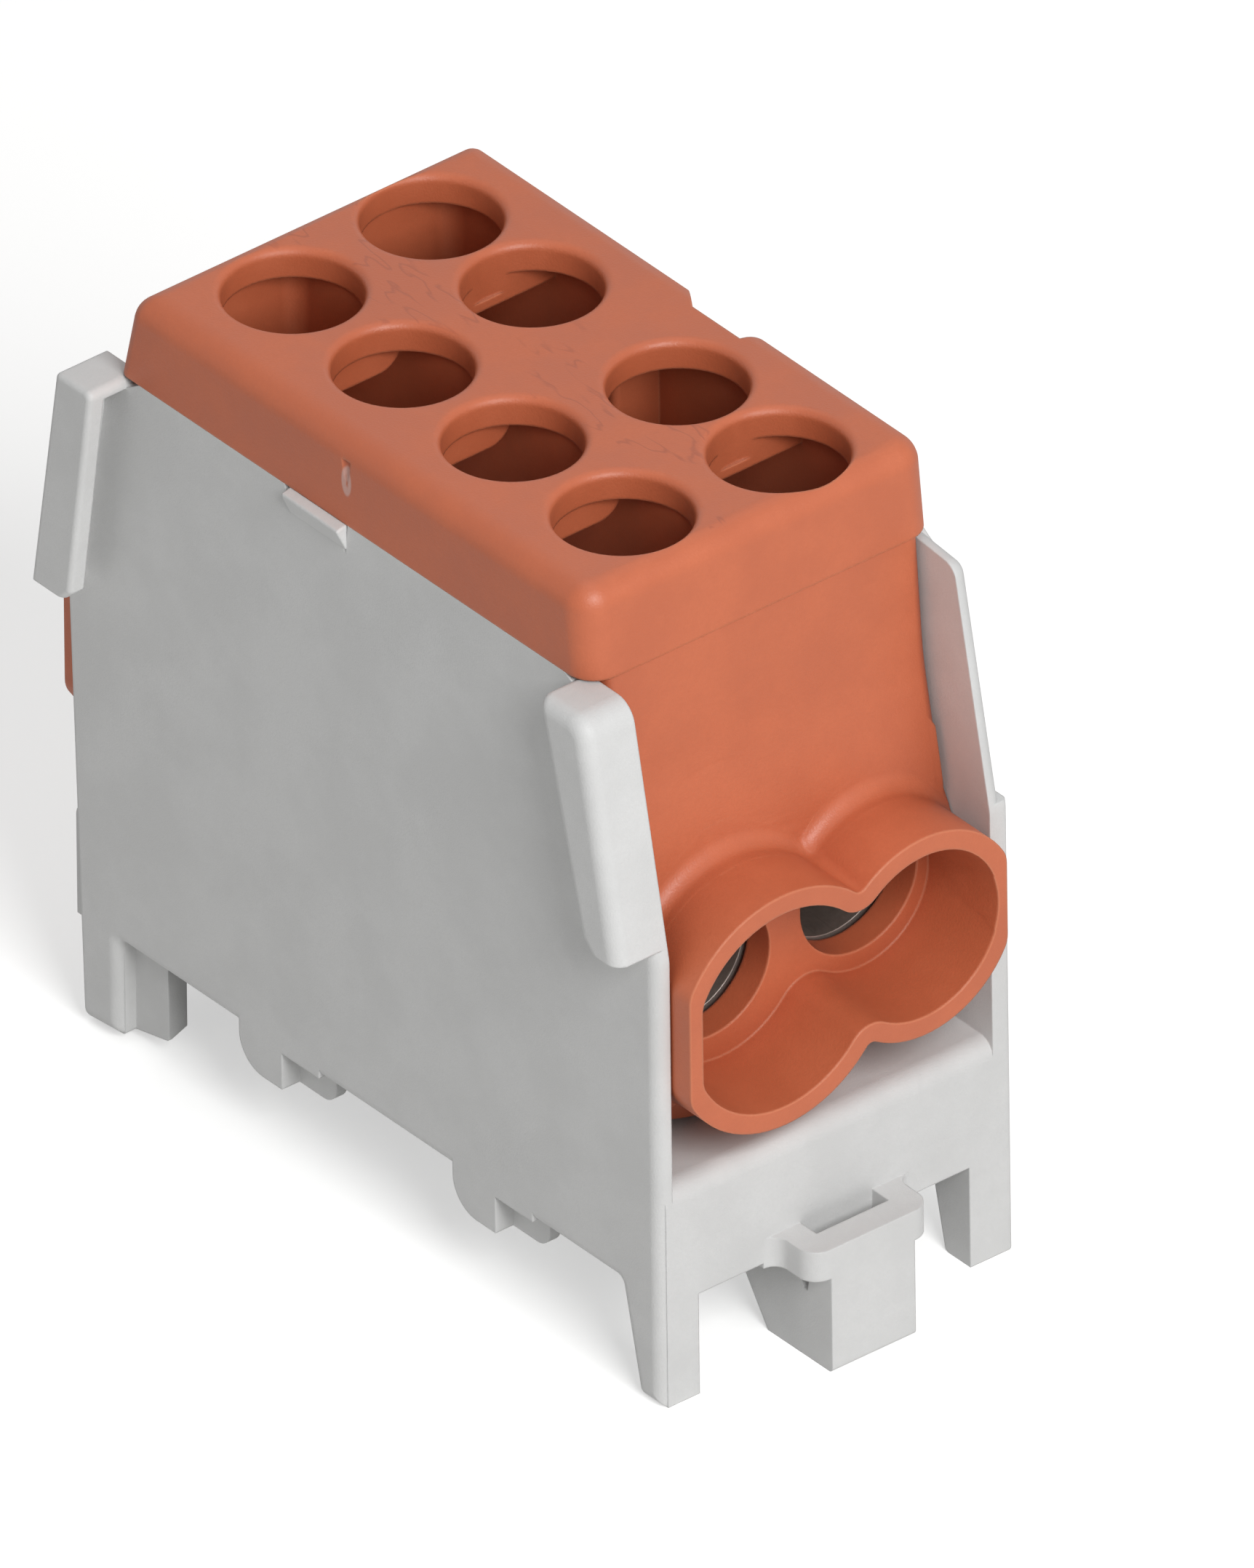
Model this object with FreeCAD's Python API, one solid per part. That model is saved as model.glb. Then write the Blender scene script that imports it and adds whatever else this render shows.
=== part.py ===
import FreeCAD, Part
import math
import os

# Rail-mounted one-pole junction terminal block. Millimetres.
# +Z is up, away from the mounting rail, -Y is the end with the spring catch,
# and X runs along the rail. The origin is on the rail seat, over the rail's centre line.
# Everything is drawn about the body's own middle plane and moved onto the rail at the end.

# Mounting rail (35 mm hat rail)
RAIL_WIDTH = 35.0
RAIL_SHEET = 1.0
RAIL_CHANNEL = 25.0
RAIL_PLAY = 0.35
RAIL_OFFSET = 1.45

# Base housing
FRONT_LEG = 3.2
BODY_WIDTH = 21.7
RIGHT_PAD = 0.3
RIGHT_PAD_TOP = 20.1
SIDE_WALL = 0.85
WALL_TOP = 33.6
END_TOP = 32.8
WALL_DIP_SETBACK = 6.7
WALL_DIP_RUN = 0.7
WALL_DIP_FALL = 0.45
WALL_DIP_SKEW = 0.9
SHOULDER = 19.8
SHOULDER_ROUND = 2.0
FRONT_LEAN = 10.9
REAR_LEAN = 9.0
FRONT_CORNER = 0.7
REAR_CORNER = 0.3
END_CORNER = 0.9
FLOOR = 1.5
SILL_TOP = 6.5
SILL_WALL = 1.4
SILL_ROUND = 1.0
FOOT_DEPTH = 6.0
FOOT_WIDTH = 2.4
FRONT_FOOT_LENGTH = 1.9
REAR_FOOT_LENGTH = 2.75
REAR_FOOT_TAPER = 0.85
REAR_FOOT_RISE = 0.25
REAR_STOP_RISE = 1.1
REAR_STOP_INSET = 1.1
REAR_STOP_WIDTH = 1.7
REAR_STOP_SKEW = 0.7

# Guide tabs that drop into the rail's channel
TAB_REAR = 3.25
TAB_FRONT = 2.85
TAB_DEPTH = 2.1
TAB_REAR_ROUND = 1.8
TAB_FRONT_ROUND = 1.0
TAB_STEP = 1.1
TAB_THICK = 1.75
TAB_CHANNEL_PLAY = 0.4
TAB_REAR_OFFSET = 1.0
TAB_FRONT_OFFSET = 0.8

# Hooks that join neighbouring blocks
HOOK_REACH = 2.3
HOOK_LIP = 0.9
HOOK_END_WALL = 1.2
HOOK_BOTTOM = 20.5
HOOK_TOP = 33.5
HOOK_ROOF = 0.6
HOOK_CLIP = 0.5
FRONT_HOOK_FOOT = 3.05
FRONT_HOOK_HEAD = 3.65
FRONT_HOOK_CORNER = 1.3
FRONT_HOOK_ROUND = 0.8
REAR_HOOK_FOOT = 2.95
REAR_HOOK_HEAD = 2.7
REAR_HOOK_CORNER = 0.3
REAR_HOOK_ROUND = 0.3

# Spring catch with screwdriver loop, and fixed catch at the rear
CATCH_WIDTH = 5.2
CATCH_REACH = 2.8
CATCH_BITE = 1.5
CATCH_RAMP_RUN = 2.9
CATCH_GAP = 0.3
REAR_CATCH_INSET = 0.4
WINDOW_PLAY = 0.2
LOOP_TOP = 1.2
LOOP_THICK = 1.7
LOOP_SIDE = 1.15
LOOP_SLOT = 1.25
LOOP_ROUND = 1.1
LOOP_BLEND = 0.8
SLOT_END_WALL = 0.35
POCKET_DEPTH = 1.6

# Prise notch in the left wall
PRISE_LENGTH = 4.6
PRISE_DEPTH = 1.15
PRISE_TAIL = 0.6
PRISE_Y = 0.8

# Hood: its ends are set back from the housing's ends
HOOD_TOP = 38.55
TOP_SETBACK = 5.3
CAP_FRONT_SETBACK = 4.8
CAP_REAR_SETBACK = 4.1
FRONT_UPPER_SETBACK = 4.88
REAR_UPPER_SETBACK = 4.2
FRONT_KNEE_SETBACK = 4.4
REAR_KNEE_SETBACK = 3.95
KNEE_Z = 26.8
KNEE_R = 20.0
LOWER_SETBACK = 3.15
LOWER_Z = 20.0
LOWER_R = 6.0
SKIRT_CORNER = 0.7
HOOD_WALL = 1.1
WELL_SETBACK = 5.7
WELL_CORNER = 1.0
HOOD_BOTTOM = 8.6
HOOD_PLAY = 0.1
LID = 1.6
TOP_ROUND = 1.4
CAP_FRONT_CORNER = 1.6
CAP_REAR_CORNER = 0.8
KEY_NOTCH_DEPTH = 1.55
KEY_NOTCH_LENGTH = 3.6
KEY_NOTCH_Y = -2.8
KEY_NOTCH_FRONT_FLARE = 0.3
KEY_NOTCH_REAR_FLARE = 1.5
DRIVER_HOLE_R = 3.5
DRIVER_RIM_ROUND = 0.45
PARTITION_FROM = 0.2
PARTITION_TO = 0.64
WELL_RIB = 1.0
WELL_RIB_DEPTH = 1.55
WELL_RIB_END = 0.7
WELL_RIB_ROUND = 1.4
BUTTRESS = 1.2
BUTTRESS_LENGTH = 2.75
BUTTRESS_Y = 1.65
BUTTRESS_ROUND = 0.4
GATE_MARK_Y = 0.85
GATE_MARK_Z = 36.2
GATE_MARK_HEIGHT = 2.3
GATE_MARK_R = 0.4
BEAD = 0.35
BEAD_HEIGHT = 1.4
BEAD_LENGTH = 4.0
BEAD_Z = 29.5
BEAD_Y = 10.0
BEAD_PLAY = 0.1

# Cable funnels, one figure-eight at each end
LOBE_A_SHARE = 0.184
LOBE_A_Z = 15.1
LOBE_A_R = 5.6
LOBE_B_SHARE = 0.219
LOBE_B_Z = 15.6
LOBE_B_R = 4.65
LOBE_WAIST_R = 1.5
FUNNEL_WALL = 1.05
FUNNEL_PROUD = 1.4
FLOOR_SETBACK = 3.55
FLOOR_DRAFT = 0.4
FUNNEL_FLOOR_WALL = 1.7
FUNNEL_SIDE = 0.8
FLARE_SETBACK = 3.75
FLARE_LENGTH = 2.2
FLARE_GROWTH = 1.6

# Terminal body and screws
ROW_A_SHARE = 0.2097
ROW_B_SHARE = 0.2143
BORE_A_Z = 15.0
BORE_B_Z = 16.0
THROAT_R = 3.65
TERMINAL_BORE_R = 3.6
ROW_A_PITCH = 8.4
ROW_B_PITCH = 7.7
ROW_B_GAP = 11.1
TERMINAL_PLAY = 0.1
TERMINAL_END_PLAY = 0.3
TERMINAL_UNDER = 1.9
TERMINAL_TOP = 25.0
TERMINAL_CHAMFER = 0.5
TERMINAL_GROOVE_R = 1.6
TERMINAL_GROOVE_RISE = 0.4
SCREW_R = 3.0
THREAD_CLEARANCE = 0.05
SCREW_LENGTH = 8.6
SCREW_TIP_CLEAR = 0.25
SCREW_CHAMFER = 0.5
SLOT_WIDTH = 1.0
SLOT_DEPTH = 1.6
CROSS_SPAN = 3.6
CROSS_WIDTH = 0.95
CROSS_DEPTH = 2.4
SUPPORT_RIB = 1.4

HALF_LENGTH = RAIL_OFFSET + RAIL_WIDTH / 2 + RAIL_PLAY + FRONT_LEG
HALF_WIDTH = BODY_WIDTH / 2
INNER_X = HALF_WIDTH - SIDE_WALL
FRONT_FLANGE = -RAIL_OFFSET - RAIL_WIDTH / 2
REAR_FLANGE = -RAIL_OFFSET + RAIL_WIDTH / 2
FRONT_FOOT_BACK = FRONT_FLANGE - RAIL_PLAY
REAR_STOP = REAR_FLANGE + RAIL_PLAY
WALL_DIP_Y = HALF_LENGTH - WALL_DIP_SETBACK
HOOD_X = INNER_X - HOOD_PLAY
HOOD_END_TOP = HALF_LENGTH - TOP_SETBACK
HOOD_END = HALF_LENGTH - LOWER_SETBACK
WELL_END = HALF_LENGTH - WELL_SETBACK
CAP_FRONT_END = HALF_LENGTH - CAP_FRONT_SETBACK
CAP_REAR_END = HALF_LENGTH - CAP_REAR_SETBACK
LID_UNDER = HOOD_TOP - LID
HOOD_INNER_X = HOOD_X - HOOD_WALL
CENTRE_X = RIGHT_PAD / 2
FUNNEL_RIM = HALF_LENGTH + FUNNEL_PROUD
FUNNEL_FLOOR = HALF_LENGTH - FLOOR_SETBACK
FLARE_ROOT = HALF_LENGTH - FLARE_SETBACK
FLOOR_BACK = FUNNEL_FLOOR - FUNNEL_FLOOR_WALL
LOBE_A_X = -LOBE_A_SHARE * BODY_WIDTH
LOBE_B_X = LOBE_B_SHARE * BODY_WIDTH
ROW_A_X = -ROW_A_SHARE * BODY_WIDTH
ROW_B_X = ROW_B_SHARE * BODY_WIDTH
BETWEEN_SCREWS = ROW_B_X - ROW_A_X - 2 * SCREW_R
PARTITION_LEFT = ROW_A_X + SCREW_R + PARTITION_FROM * BETWEEN_SCREWS
PARTITION_RIGHT = ROW_A_X + SCREW_R + PARTITION_TO * BETWEEN_SCREWS
TERMINAL_X = INNER_X - TERMINAL_PLAY
TERMINAL_END = FLOOR_BACK - TERMINAL_END_PLAY
TERMINAL_BOTTOM = min(BORE_A_Z, BORE_B_Z) - TERMINAL_BORE_R - TERMINAL_UNDER
HOOD_SIDE_BOTTOM = TERMINAL_TOP + HOOD_PLAY
ROW_A_Y = [ROW_A_PITCH * k for k in (1.5, 0.5, -0.5, -1.5)]
ROW_B_Y = [side * (ROW_B_GAP / 2 + step * ROW_B_PITCH) for side, step in ((1, 1), (1, 0), (-1, 0), (-1, 1))]
EXTRA = 1.0


def vec(x, y, z):
    return FreeCAD.Vector(x, y, z)


def box(x0, x1, y0, y1, z0, z1):
    return Part.makeBox(x1 - x0, y1 - y0, z1 - z0, vec(x0, y0, z0))


def outline(points):
    """Closed loop of 2-D points (a, b) or (a, b, radius): each corner with a radius becomes an arc."""
    edges = []
    starts = []
    ends = []
    arcs = []
    count = len(points)
    for i in range(count):
        p = FreeCAD.Vector(points[i][0], points[i][1], 0)
        radius = points[i][2] if len(points[i]) > 2 else 0
        before = FreeCAD.Vector(points[i - 1][0], points[i - 1][1], 0) - p
        after = FreeCAD.Vector(points[(i + 1) % count][0], points[(i + 1) % count][1], 0) - p
        if radius == 0:
            starts.append(p)
            ends.append(p)
            arcs.append(None)
            continue
        before.normalize()
        after.normalize()
        half = before.getAngle(after) / 2
        reach = radius / math.tan(half)
        bisector = before + after
        bisector.normalize()
        centre = p + bisector * (radius / math.sin(half))
        starts.append(p + before * reach)
        ends.append(p + after * reach)
        arcs.append(centre - bisector * radius)
    for i in range(count):
        if arcs[i] is not None:
            edges.append(Part.Arc(starts[i], arcs[i], ends[i]).toShape())
        following = starts[(i + 1) % count]
        if (following - ends[i]).Length > 1e-6:
            edges.append(Part.LineSegment(ends[i], following).toShape())
    return Part.Wire(edges)


def along_x(points, x0, x1):
    """Profile given as (y, z), extruded from x0 to x1."""
    wire = outline(points)
    wire.rotate(vec(0, 0, 0), vec(1, 1, 1), 120)
    solid = Part.Face(wire).extrude(vec(x1 - x0, 0, 0))
    solid.translate(vec(x0, 0, 0))
    return solid


def along_y(points, y0, y1):
    """Profile given as (x, z), extruded from y0 to y1."""
    wire = outline(points)
    wire.rotate(vec(0, 0, 0), vec(1, 0, 0), 90)
    solid = Part.Face(wire).extrude(vec(0, y1 - y0, 0))
    solid.translate(vec(0, y0, 0))
    return solid


def along_z(points, z0, z1):
    """Profile given as (x, y), extruded from z0 to z1."""
    solid = Part.Face(outline(points)).extrude(vec(0, 0, z1 - z0))
    solid.translate(vec(0, 0, z0))
    return solid


def post(radius, x, y, z0, z1):
    return Part.makeCylinder(radius, z1 - z0, vec(x, y, z0))


def rod(radius, x, z, y0, y1):
    return Part.makeCylinder(radius, y1 - y0, vec(x, y0, z), vec(0, 1, 0))


def flip_x(shape):
    return shape.mirror(vec(0, 0, 0), vec(1, 0, 0))


def flip_y(shape):
    return shape.mirror(vec(0, 0, 0), vec(0, 1, 0))


def fused(shapes):
    return shapes[0].multiFuse(shapes[1:]).removeSplitter()


def round_edges(shape, radius, wanted):
    """Fillets the edges whose middle point satisfies the test."""
    edges = []
    for edge in shape.Edges:
        middle = edge.valueAt((edge.FirstParameter + edge.LastParameter) / 2)
        if wanted(edge, middle):
            edges.append(edge)
    return shape.makeFillet(radius, edges) if edges else shape


def end_y(z, lean):
    """Distance from the middle to a side wall's end at height z, above the shoulder."""
    return HALF_LENGTH - (z - SHOULDER) * math.tan(math.radians(lean))


# Base housing

def wall_outline():
    """Side view of a side wall with its front and rear legs, as (y, z)."""
    rear_leg = HALF_LENGTH - REAR_FOOT_LENGTH - REAR_FOOT_TAPER
    return [
        (-HALF_LENGTH, -FOOT_DEPTH),
        (-HALF_LENGTH + FRONT_FOOT_LENGTH, -FOOT_DEPTH, 0.3),
        (FRONT_FOOT_BACK, 0, 0.3),
        (rear_leg, 0, 0.3),
        (rear_leg, -FOOT_DEPTH + 2 * REAR_FOOT_RISE, 0.2),
        (HALF_LENGTH - REAR_FOOT_TAPER, -FOOT_DEPTH + REAR_FOOT_RISE),
        (HALF_LENGTH, SHOULDER, SHOULDER_ROUND),
        (end_y(END_TOP, REAR_LEAN), END_TOP, END_CORNER),
        (WALL_DIP_Y + WALL_DIP_RUN + WALL_DIP_SKEW, WALL_TOP - WALL_DIP_FALL),
        (WALL_DIP_Y + WALL_DIP_SKEW, WALL_TOP),
        (-WALL_DIP_Y, WALL_TOP),
        (-WALL_DIP_Y - WALL_DIP_RUN, WALL_TOP - WALL_DIP_FALL),
        (-end_y(END_TOP, FRONT_LEAN), END_TOP, END_CORNER),
        (-HALF_LENGTH, SHOULDER, SHOULDER_ROUND),
    ]


def rounded_ends(wall, x_outer, front_radius, rear_radius):
    """Rounds a wall's long upright outer edges at both ends."""
    def at_end(side):
        def test(edge, middle):
            upright = abs(edge.Vertexes[0].Point.z - edge.Vertexes[-1].Point.z) > 5
            return upright and abs(middle.x - x_outer) < 1e-6 and side * middle.y > REAR_STOP + 3
        return test

    wall = round_edges(wall, front_radius, at_end(-1))
    return round_edges(wall, rear_radius, at_end(1))


def left_wall():
    wall = along_x(wall_outline(), -HALF_WIDTH, -INNER_X)
    return rounded_ends(wall, -HALF_WIDTH, FRONT_CORNER, REAR_CORNER)


def right_wall():
    """Like the left wall, with a pad that stands out below the neighbouring block's hooks."""
    wall = rounded_ends(along_x(wall_outline(), INNER_X, HALF_WIDTH), HALF_WIDTH, FRONT_CORNER, REAR_CORNER)
    pad = along_x(wall_outline(), INNER_X, HALF_WIDTH + RIGHT_PAD)
    pad = pad.common(box(0, BODY_WIDTH, -HALF_LENGTH, HALF_LENGTH, -FOOT_DEPTH, RIGHT_PAD_TOP))
    return wall.fuse(rounded_ends(pad, HALF_WIDTH + RIGHT_PAD, REAR_CORNER, REAR_CORNER))


def joining_hook(lean, foot, head, outer_round, roof_corner):
    """C-shaped hook at the left wall's front end, which grips the neighbour's right wall.

    foot and head are its lengths along the wall at the bottom and at the top.
    """
    x_lip = -HALF_WIDTH - HOOK_REACH
    low_front = -end_y(HOOK_BOTTOM, lean)
    top_front = -end_y(HOOK_TOP, lean)
    low_open = low_front + HOOK_END_WALL
    top_open = top_front + HOOK_END_WALL
    block = along_x([
        (low_front, HOOK_BOTTOM),
        (low_front + foot - HOOK_CLIP, HOOK_BOTTOM),
        (low_front + foot, HOOK_BOTTOM + HOOK_CLIP, 0.2),
        (top_front + head, HOOK_TOP, 0.4),
        (top_front, HOOK_TOP, roof_corner),
    ], x_lip, -INNER_X)

    def outer_rim(edge, middle):
        return abs(middle.x - x_lip) < 1e-6 and middle.z > HOOK_BOTTOM + 0.1 and middle.y < top_open

    block = round_edges(block, outer_round, outer_rim)
    slot = along_x([
        (low_open, HOOK_BOTTOM),
        (low_open, HOOK_BOTTOM - EXTRA),
        (low_front + foot + EXTRA, HOOK_BOTTOM - EXTRA),
        (top_front + head + EXTRA, HOOK_TOP - HOOK_ROOF),
        (top_open, HOOK_TOP - HOOK_ROOF),
    ], x_lip + HOOK_LIP, -HALF_WIDTH)
    return block.cut(slot)


def guide_tab(y_rear):
    """Rounded tab under the left wall: flush rear half, front half set in by one wall."""
    y_front = y_rear - TAB_REAR - TAB_FRONT
    whole = along_x([
        (y_rear, FLOOR / 2),
        (y_rear, -TAB_DEPTH, TAB_REAR_ROUND),
        (y_front, -TAB_DEPTH, TAB_FRONT_ROUND),
        (y_front, FLOOR / 2),
    ], -HALF_WIDTH, -HALF_WIDTH + TAB_THICK)
    step = box(-HALF_WIDTH - EXTRA, -HALF_WIDTH + TAB_STEP, y_front - EXTRA, y_rear - TAB_REAR,
               -TAB_DEPTH - EXTRA, 0)
    return whole.cut(step)


def front_foot():
    """Front leg under the sill, at full width."""
    return along_x([
        (-HALF_LENGTH, -FOOT_DEPTH),
        (-HALF_LENGTH + FRONT_FOOT_LENGTH, -FOOT_DEPTH, 0.3),
        (FRONT_FOOT_BACK, 0),
        (FRONT_FOOT_BACK, FLOOR),
        (-HALF_LENGTH, FLOOR),
    ], -INNER_X - SIDE_WALL / 2, -HALF_WIDTH + FOOT_WIDTH)


def rear_foot():
    """Rear leg: a full-width heel and an inset block whose skewed face stops the rail's rear flange."""
    rear_leg = HALF_LENGTH - REAR_FOOT_LENGTH - REAR_FOOT_TAPER
    heel = along_x([
        (rear_leg, -FOOT_DEPTH + 2 * REAR_FOOT_RISE, 0.2),
        (HALF_LENGTH - REAR_FOOT_TAPER, -FOOT_DEPTH + REAR_FOOT_RISE),
        (HALF_LENGTH - REAR_FOOT_TAPER, FLOOR),
        (rear_leg, FLOOR),
    ], -INNER_X - SIDE_WALL / 2, -HALF_WIDTH + FOOT_WIDTH)
    outer = -HALF_WIDTH + REAR_STOP_INSET
    inner = outer + REAR_STOP_WIDTH
    block = along_x([
        (REAR_STOP, -FOOT_DEPTH + REAR_STOP_RISE, 0.2),
        (rear_leg + 0.5, -FOOT_DEPTH + REAR_FOOT_RISE + 0.2),
        (rear_leg + 0.5, FLOOR),
        (REAR_STOP, FLOOR),
    ], outer, inner)
    skew = along_z([
        (outer, REAR_STOP - EXTRA),
        (inner + EXTRA, REAR_STOP - EXTRA),
        (inner + EXTRA, REAR_STOP + REAR_STOP_SKEW * (1 + EXTRA / REAR_STOP_WIDTH)),
        (outer, REAR_STOP),
    ], -FOOT_DEPTH - EXTRA, 0)
    return heel.fuse(block.cut(skew))


def sill():
    """Cross-piece under a funnel: front plate, rounded nose and a ledge behind it."""
    ledge_back = -TERMINAL_END + SUPPORT_RIB
    return along_x([
        (-HALF_LENGTH, -0.2),
        (-HALF_LENGTH + SILL_WALL, -0.2),
        (-HALF_LENGTH + SILL_WALL, SILL_TOP - SILL_WALL, 0.5),
        (ledge_back - SUPPORT_RIB, SILL_TOP - SILL_WALL, 0.5),
        (ledge_back - SUPPORT_RIB, FLOOR / 2),
        (ledge_back, FLOOR / 2),
        (ledge_back, SILL_TOP, 0.4),
        (-HALF_LENGTH, SILL_TOP, SILL_ROUND),
    ], -INNER_X - SIDE_WALL / 2, INNER_X + SIDE_WALL / 2)


def turned_about(shape, y):
    """The same shape on the other side wall, turned half round about a vertical axis at y."""
    other = shape.copy()
    other.rotate(vec(0, y, 0), vec(0, 0, 1), 180)
    return other


def floor_plate():
    """Floor between the two sills: its underside is the rail seat."""
    reach = TERMINAL_END - SUPPORT_RIB / 2
    return box(-INNER_X - SIDE_WALL / 2, INNER_X + SIDE_WALL / 2, -reach, reach, 0, FLOOR)


def supports():
    """Two ribs on the floor that carry the terminal body."""
    ribs = []
    for x in (ROW_A_X, ROW_B_X):
        ribs.append(box(x - SUPPORT_RIB / 2, x + SUPPORT_RIB / 2, -TERMINAL_END + SUPPORT_RIB / 2,
                        TERMINAL_END - SUPPORT_RIB / 2, FLOOR / 2, TERMINAL_BOTTOM))
    return ribs


def catch_block(flange, reach_out):
    """Catch under a flange edge, seen from the side: nose above, lead-in ramp below."""
    outer = -HALF_LENGTH - reach_out
    nose = flange + CATCH_BITE
    nose_top = -RAIL_SHEET - CATCH_GAP
    return along_x([
        (outer, -FOOT_DEPTH, 0.3),
        (nose - CATCH_RAMP_RUN, -FOOT_DEPTH),
        (nose, nose_top - 0.3),
        (nose, nose_top),
        (flange - RAIL_PLAY, nose_top, 0.3),
        (flange - RAIL_PLAY, FLOOR / 2),
        (-HALF_LENGTH + SILL_WALL / 2, FLOOR / 2),
        (-HALF_LENGTH + SILL_WALL / 2, 0),
        (outer, 0),
    ], -CATCH_WIDTH / 2, CATCH_WIDTH / 2)


def spring_catch():
    """Front catch with its screwdriver loop, moulded onto the front sill."""
    outer = -HALF_LENGTH - CATCH_REACH
    loop_low = LOOP_TOP - LOOP_THICK
    wide = CATCH_WIDTH / 2 + LOOP_SIDE
    block = catch_block(FRONT_FLANGE, CATCH_REACH)
    loop = along_z([
        (-wide, -HALF_LENGTH, 0),
        (-wide - LOOP_BLEND, -HALF_LENGTH, 0),
        (-wide - LOOP_BLEND, -HALF_LENGTH + SILL_WALL / 2, 0),
        (wide + LOOP_BLEND, -HALF_LENGTH + SILL_WALL / 2, 0),
        (wide + LOOP_BLEND, -HALF_LENGTH, 0),
        (wide, -HALF_LENGTH, 0),
        (wide, outer, LOOP_ROUND),
        (-wide, outer, LOOP_ROUND),
    ], loop_low, LOOP_TOP)
    blends = []
    for side in (-1, 1):
        corner = along_z([
            (side * wide, -HALF_LENGTH),
            (side * (wide + LOOP_BLEND), -HALF_LENGTH),
            (side * wide, -HALF_LENGTH - LOOP_BLEND),
        ], loop_low, LOOP_TOP)
        scoop = post(LOOP_BLEND, side * (wide + LOOP_BLEND), -HALF_LENGTH - LOOP_BLEND, loop_low, LOOP_TOP)
        blends.append(corner.cut(scoop))
    catch = fused([block, loop] + blends)
    slot_back = -HALF_LENGTH
    slot_half = CATCH_WIDTH / 2 - SLOT_END_WALL
    slot = box(-slot_half, slot_half, slot_back - LOOP_SLOT, slot_back, loop_low, LOOP_TOP + EXTRA)
    pocket = along_x([
        (slot_back, loop_low),
        (slot_back - LOOP_SLOT, loop_low),
        (slot_back - 0.75 * LOOP_SLOT, loop_low - POCKET_DEPTH),
        (slot_back - 0.5 * LOOP_SLOT, loop_low - POCKET_DEPTH),
    ], -CATCH_WIDTH / 2 - EXTRA, slot_half)
    catch = catch.cut(slot).cut(pocket)
    catch.translate(vec(CENTRE_X, 0, 0))
    return catch


def rear_catch():
    """Fixed catch under the rail's rear flange."""
    return flip_y(catch_block(-REAR_FLANGE, -REAR_FOOT_TAPER - REAR_CATCH_INSET))


def nose_window():
    """Window in the floor over the rear catch's nose, where the mould's core reaches through."""
    half = CATCH_WIDTH / 2 + WINDOW_PLAY
    return box(-half, half, REAR_FLANGE - CATCH_BITE - WINDOW_PLAY, REAR_FLANGE + RAIL_PLAY, -EXTRA, FLOOR)


def prise_notch():
    """Sloping cut in the left wall's upper outer edge, for prising the hood off."""
    x_out = -HALF_WIDTH - 0.01
    x_in = -INNER_X - 0.1
    top = WALL_TOP + 0.01
    low = WALL_TOP - PRISE_DEPTH
    rear = PRISE_Y + PRISE_LENGTH
    a = vec(x_out, rear + 0.2, top)
    b = vec(x_out, rear, low)
    c = vec(x_out, PRISE_Y + PRISE_TAIL, low)
    d = vec(x_out, PRISE_Y + 0.2, low - PRISE_TAIL)
    e = vec(x_out, PRISE_Y, top)
    f = vec(x_in, rear, top)
    g = vec(x_in, PRISE_Y + 0.2, top)
    faces = []
    for loop in ((a, b, c, d, e), (a, f, g, e), (a, b, f), (b, c, f), (c, g, f), (c, d, g), (d, e, g)):
        faces.append(Part.Face(Part.makePolygon(list(loop) + [loop[0]])))
    solid = Part.makeSolid(Part.makeShell(faces))
    if solid.Volume < 0:
        solid.reverse()
    return solid


def bead_profile(grow):
    """Triangular bead on the hood's side, as (x, z), larger by the given play for its pocket."""
    half = BEAD_HEIGHT / 2 + grow
    return [
        (HOOD_X - 0.2, BEAD_Z - half),
        (HOOD_X + 0.01, BEAD_Z - half),
        (HOOD_X + BEAD + grow, BEAD_Z),
        (HOOD_X + BEAD + grow, BEAD_Z + 0.2 * half),
        (HOOD_X + 0.01, BEAD_Z + half),
        (HOOD_X - 0.2, BEAD_Z + half),
    ]


def beads(grow):
    """The four beads, or their pockets in the walls."""
    found = []
    for y in (-BEAD_Y, BEAD_Y):
        half = BEAD_LENGTH / 2 + grow
        right = along_y(bead_profile(grow), y - half, y + half)
        found += [right, flip_x(right)]
    return found


def base_housing():
    rear_limit = -RAIL_OFFSET + RAIL_CHANNEL / 2 - TAB_CHANNEL_PLAY
    front_limit = -RAIL_OFFSET - RAIL_CHANNEL / 2 + TAB_CHANNEL_PLAY
    length = TAB_REAR + TAB_FRONT
    tabs = []
    for y_rear in (rear_limit - TAB_REAR_OFFSET, front_limit + TAB_FRONT_OFFSET + length):
        tab = guide_tab(y_rear)
        tabs += [tab, turned_about(tab, y_rear - length / 2)]
    feet = [front_foot(), flip_x(front_foot()), rear_foot(), flip_x(rear_foot())]
    front_hook = joining_hook(FRONT_LEAN, FRONT_HOOK_FOOT, FRONT_HOOK_HEAD,
                              FRONT_HOOK_ROUND, FRONT_HOOK_CORNER)
    rear_hook = joining_hook(REAR_LEAN, REAR_HOOK_FOOT, REAR_HOOK_HEAD,
                             REAR_HOOK_ROUND, REAR_HOOK_CORNER)
    pieces = [left_wall(), right_wall(), floor_plate(), sill(), flip_y(sill())]
    pieces += tabs + feet + supports() + [front_hook, flip_y(rear_hook), spring_catch(), rear_catch()]
    housing = fused(pieces)
    for tool in beads(BEAD_PLAY) + [nose_window(), prise_notch()]:
        housing = housing.cut(tool)
    return housing


# Hood

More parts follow.
